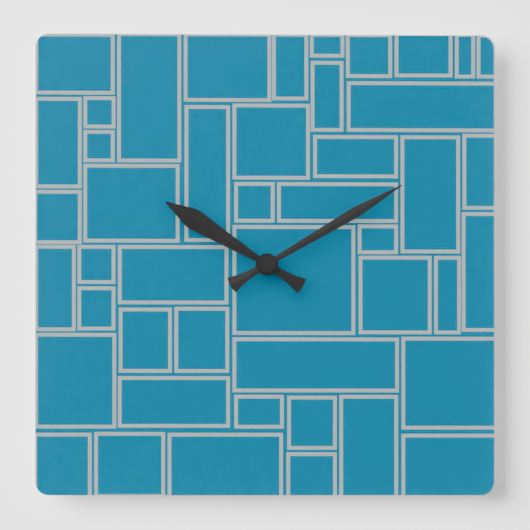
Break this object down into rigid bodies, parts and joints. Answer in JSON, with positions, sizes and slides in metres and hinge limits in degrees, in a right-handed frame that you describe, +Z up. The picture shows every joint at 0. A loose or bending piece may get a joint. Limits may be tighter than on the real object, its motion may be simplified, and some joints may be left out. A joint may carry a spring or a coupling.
{
  "type": "wall clock",
  "caption": "Square clear-acrylic wall clock with a printed mosaic face, creased black hands and a battery quartz movement behind.",
  "frame": {"origin": "on the hands' axis, in the wall plane that the rear cover rests on", "axes": "+Z up the dial, +X to the right as the dial is read, -Y out of the dial towards the reader, +Y into the wall"},
  "size_m": [0.273, 0.0341, 0.273],
  "materials": {
    "clear_acrylic": "clear, polished sheet",
    "printed_film": "printed teal with grey lines, seen through the panel",
    "hand_enamel": "satin black enamel",
    "case_plastic": "moulded black, fine texture",
    "knob_plastic": "moulded pale grey",
    "turned_brass": "turned",
    "black_rubber": "matt",
    "wheel_acetal": "natural white, satin",
    "bridge_plastic": "moulded grey",
    "screw_steel": "plated",
    "soft_iron": "pressed, annealed",
    "magnet_ferrite": "ground",
    "copper_wire": "enamelled winding",
    "bobbin_plastic": "moulded cream",
    "board_laminate": "brown laminate",
    "chip_resin": "black resin",
    "plated_contact": "nickel plated",
    "cell_can": "nickel-plated can",
    "cell_wrap": "plain shrink sleeve"
  },
  "bodies": {
    "movement": {"face_panel": "clear_acrylic", "printed_film": "printed_film", "movement_case": "case_plastic", "rear_cover": "case_plastic", "threaded_bush": "turned_brass", "rubber_washer": "black_rubber", "brass_washer": "turned_brass", "hex_nut": "turned_brass", "train_bridge": "bridge_plastic", "bridge_screws": "screw_steel", "circuit_board": "board_laminate", "clock_chip": "chip_resin", "crystal_can": "plated_contact", "coil_core": "soft_iron", "coil_bobbin": "bobbin_plastic", "coil_winding": "copper_wire", "stator_plate": "soft_iron", "stator_screws": "screw_steel", "positive_contact": "plated_contact", "negative_contact": "plated_contact", "battery_cell": "cell_can", "battery_wrap": "cell_wrap"},
    "minute_body": {"minute_shaft": "turned_brass", "centre_wheel": "wheel_acetal", "clutch_washer": "plated_contact", "minute_hand": "hand_enamel", "cap_nut": "hand_enamel"},
    "hour_body": {"hour_wheel": "wheel_acetal", "hour_collet": "turned_brass", "hour_hand": "hand_enamel"},
    "setting_body": {"minute_wheel": "wheel_acetal", "setting_knob": "knob_plastic"},
    "third_body": {"third_wheel": "wheel_acetal"},
    "seconds_body": {"seconds_wheel": "wheel_acetal"},
    "fifth_body": {"fifth_wheel": "wheel_acetal"},
    "rotor_body": {"rotor_pinion": "wheel_acetal", "rotor_magnet": "magnet_ferrite"}
  },
  "joints": [
    {"name": "minute_spin", "type": "hinge", "parent": "movement", "child": "minute_body", "pos_m": [0, -0.02, 0], "axis": [0, 1, 0], "continuous": true},
    {"name": "hour_spin", "type": "hinge", "parent": "movement", "child": "hour_body", "pos_m": [0, -0.02, 0], "axis": [0, 1, 0], "continuous": true},
    {"name": "setting_spin", "type": "hinge", "parent": "movement", "child": "setting_body", "pos_m": [0.00927, -0.008, -0.00248], "axis": [0, 1, 0], "continuous": true},
    {"name": "third_spin", "type": "hinge", "parent": "movement", "child": "third_body", "pos_m": [-0.00779, -0.01, 0.0045], "axis": [0, 1, 0], "continuous": true},
    {"name": "seconds_spin", "type": "hinge", "parent": "movement", "child": "seconds_body", "pos_m": [0, -0.008, 0], "axis": [0, 1, 0], "continuous": true},
    {"name": "fifth_spin", "type": "hinge", "parent": "movement", "child": "fifth_body", "pos_m": [0.0044, -0.004, 0.00762], "axis": [0, 1, 0], "continuous": true},
    {"name": "rotor_spin", "type": "hinge", "parent": "movement", "child": "rotor_body", "pos_m": [0.00864, -0.008, 0.01186], "axis": [0, 1, 0], "continuous": true}
  ],
  "couplings": [
    {"joint": "hour_spin", "follows": "minute_spin", "ratio": 0.083333},
    {"joint": "setting_spin", "follows": "minute_spin", "ratio": -0.33333},
    {"joint": "third_spin", "follows": "minute_spin", "ratio": -8},
    {"joint": "seconds_spin", "follows": "minute_spin", "ratio": 60},
    {"joint": "fifth_spin", "follows": "minute_spin", "ratio": -360},
    {"joint": "rotor_spin", "follows": "minute_spin", "ratio": 1800}
  ]
}
